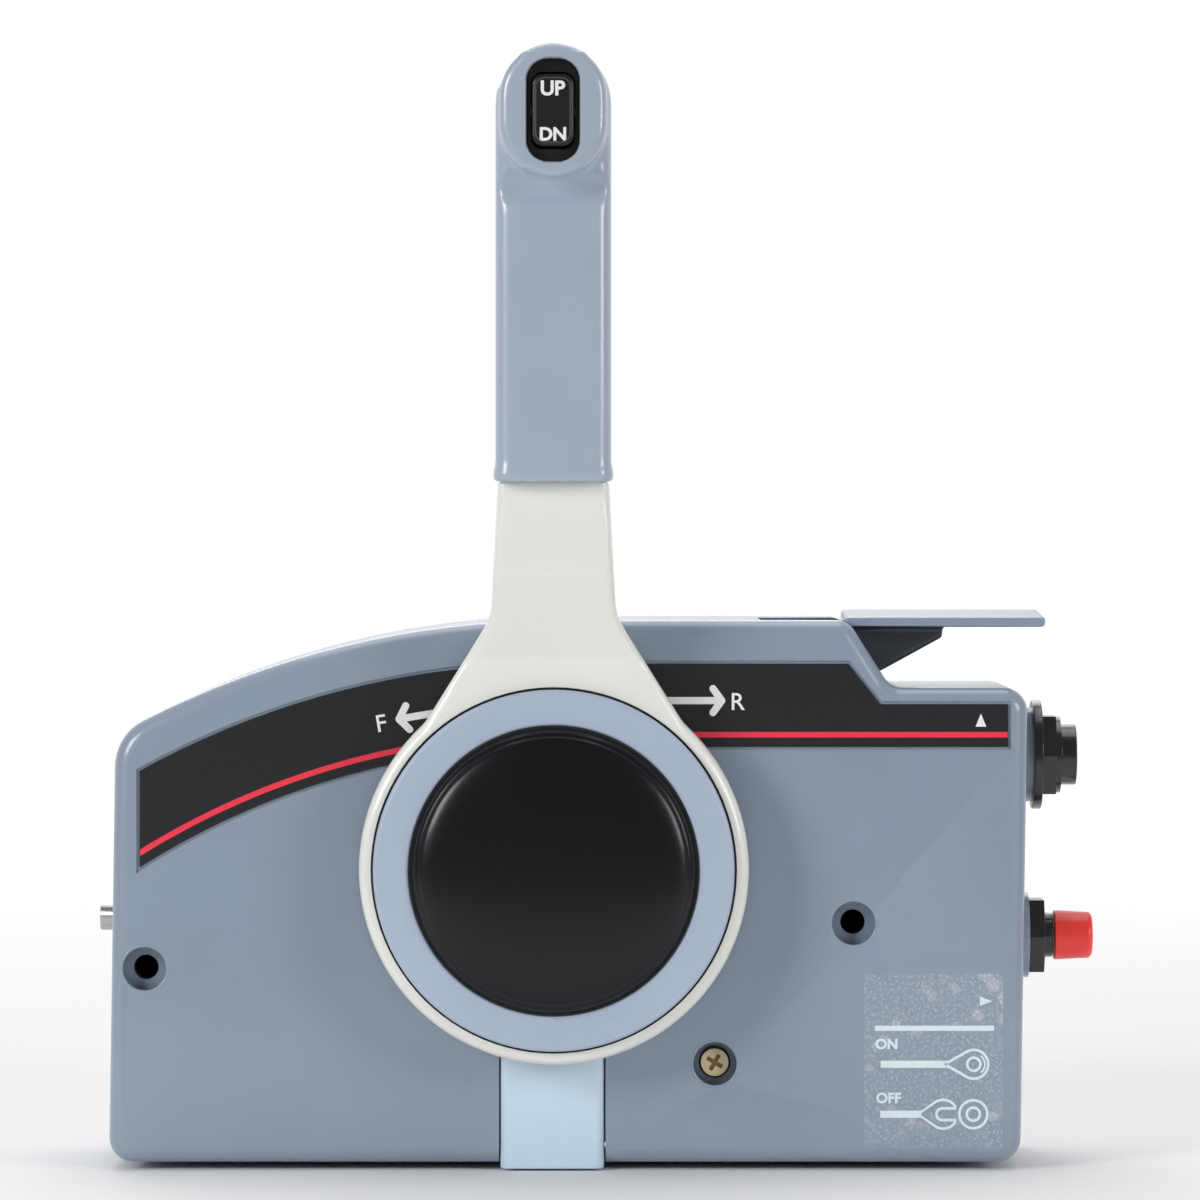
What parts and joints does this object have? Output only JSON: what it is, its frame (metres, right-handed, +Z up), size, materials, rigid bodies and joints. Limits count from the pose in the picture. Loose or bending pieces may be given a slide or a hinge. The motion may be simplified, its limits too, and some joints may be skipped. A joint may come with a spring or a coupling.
{
  "type": "boat throttle control lever",
  "caption": "Side-mount box that sets a boat engine's gear and throttle by a swinging hand lever, with a rocker switch in the grip and two switches on its side.",
  "frame": {"origin": "on the lever's axis, at the mounting face on the back of the box", "axes": "+Z up along the lever at neutral, +Y out of the mounting face, -Y towards the user, +X towards the side switches"},
  "size_m": [0.2244, 0.098, 0.2478],
  "materials": {
    "housing_plastic": "fine moulded grain",
    "cover_plastic": "fine moulded grain",
    "strip_plastic": "glossy",
    "band_film": "printed satin film",
    "lever_paint": "satin paint",
    "grip_plastic": "satin moulded",
    "ring_plastic": "satin moulded",
    "cap_gloss": "high gloss",
    "idle_paint": "satin paint",
    "black_plastic": "satin",
    "black_metal": "black finish",
    "red_cap": "soft satin",
    "rubber": "matt",
    "steel": "machined",
    "brass": "plated",
    "bronze": "sintered"
  },
  "bodies": {
    "housing": {"front_housing": "housing_plastic", "back_cover": "cover_plastic", "lower_trim_cover": "strip_plastic", "legend_plate": "band_film", "mounting_sleeves": "steel", "case_screw": "brass", "cover_screws": "steel", "harness_grommet": "rubber", "rear_bush": "bronze", "front_bush": "bronze", "neutral_plate": "steel", "neutral_plate_screws": "steel", "neutral_switch": "black_plastic", "neutral_switch_screws": "steel", "ignition_body": "black_metal", "ignition_washer": "black_metal", "ignition_nut": "black_metal", "stop_switch_body": "black_metal", "stop_switch_nut": "black_metal", "shift_post": "steel", "throttle_post": "steel", "post_rings": "steel"},
    "lever": {"control_lever": "lever_paint", "hub_ring": "ring_plastic", "hub_cap": "cap_gloss", "shaft_bolt": "steel", "shaft_washer": "steel", "main_shaft": "steel", "drive_gear": "steel", "throttle_cam": "steel", "friction_disc": "steel", "grip_front": "grip_plastic", "grip_rear": "grip_plastic", "grip_screws": "steel", "trim_switch_body": "black_plastic"},
    "rocker": {"trim_rocker": "black_plastic", "rocker_pin": "steel"},
    "trigger": {"neutral_lock_trigger": "black_plastic", "lock_rod": "steel"},
    "fast_idle": {"fast_idle_lever": "idle_paint", "fast_idle_shaft": "steel", "fast_idle_cam": "steel"},
    "throttle": {"throttle_arm": "steel", "throttle_cable_joint": "steel"},
    "shift": {"shift_sector": "steel", "shift_cable_joint": "steel"},
    "key_rotor": {"ignition_rotor": "steel"},
    "stop_button": {"stop_knob": "red_cap", "stop_plunger": "steel"},
    "drag_screw": {"friction_screw": "steel"},
    "drag_pad": {"friction_pad": "black_plastic"}
  },
  "joints": [
    {"name": "lever_pivot", "type": "hinge", "parent": "housing", "child": "lever", "pos_m": [0, -0.06, 0], "axis": [0, -1, 0], "range_deg": [-60, 85]},
    {"name": "shift_turn", "type": "hinge", "parent": "housing", "child": "shift", "pos_m": [-0.04, -0.011, -0.02653], "axis": [0, -1, 0], "range_deg": [-42.5, 30]},
    {"name": "trigger_lift", "type": "slide", "parent": "lever", "child": "trigger", "axis": [0, 0, 1], "range_m": [0, 0.005], "stiffness_N_per_m": 300, "springref_m": -0.005},
    {"name": "rocker_tilt", "type": "hinge", "parent": "lever", "child": "rocker", "pos_m": [0, -0.0915, 0.1655], "axis": [1, 0, 0], "range_deg": [-5, 5], "stiffness_Nm_per_rad": 0.05},
    {"name": "fast_idle_lift", "type": "hinge", "parent": "housing", "child": "fast_idle", "pos_m": [0.058, -0.034, 0.044], "axis": [0, -1, 0], "range_deg": [0, 60]},
    {"name": "throttle_turn", "type": "hinge", "parent": "housing", "child": "throttle", "pos_m": [0.05, -0.0145, 0.002], "axis": [0, -1, 0], "range_deg": [-21, 0]},
    {"name": "key_turn", "type": "hinge", "parent": "housing", "child": "key_rotor", "pos_m": [0.116, -0.03, 0.0238], "axis": [-1, 0, 0], "range_deg": [0, 90]},
    {"name": "stop_pull", "type": "slide", "parent": "housing", "child": "stop_button", "axis": [1, 0, 0], "range_m": [0, 0.004], "stiffness_N_per_m": 400, "springref_m": -0.002},
    {"name": "drag_turn", "type": "hinge", "parent": "housing", "child": "drag_screw", "pos_m": [-0.07, -0.027, -0.0131], "axis": [-1, 0, 0], "range_deg": [0, 361]},
    {"name": "drag_press", "type": "slide", "parent": "housing", "child": "drag_pad", "axis": [1, 0, 0], "range_m": [0, 0.001]}
  ],
  "couplings": [
    {"joint": "shift_turn", "follows": "lever_pivot", "ratio": -0.5},
    {"joint": "throttle_turn", "follows": "fast_idle_lift", "ratio": -0.35},
    {"joint": "drag_turn", "follows": "drag_press", "rad_per_m": 6283.2}
  ]
}
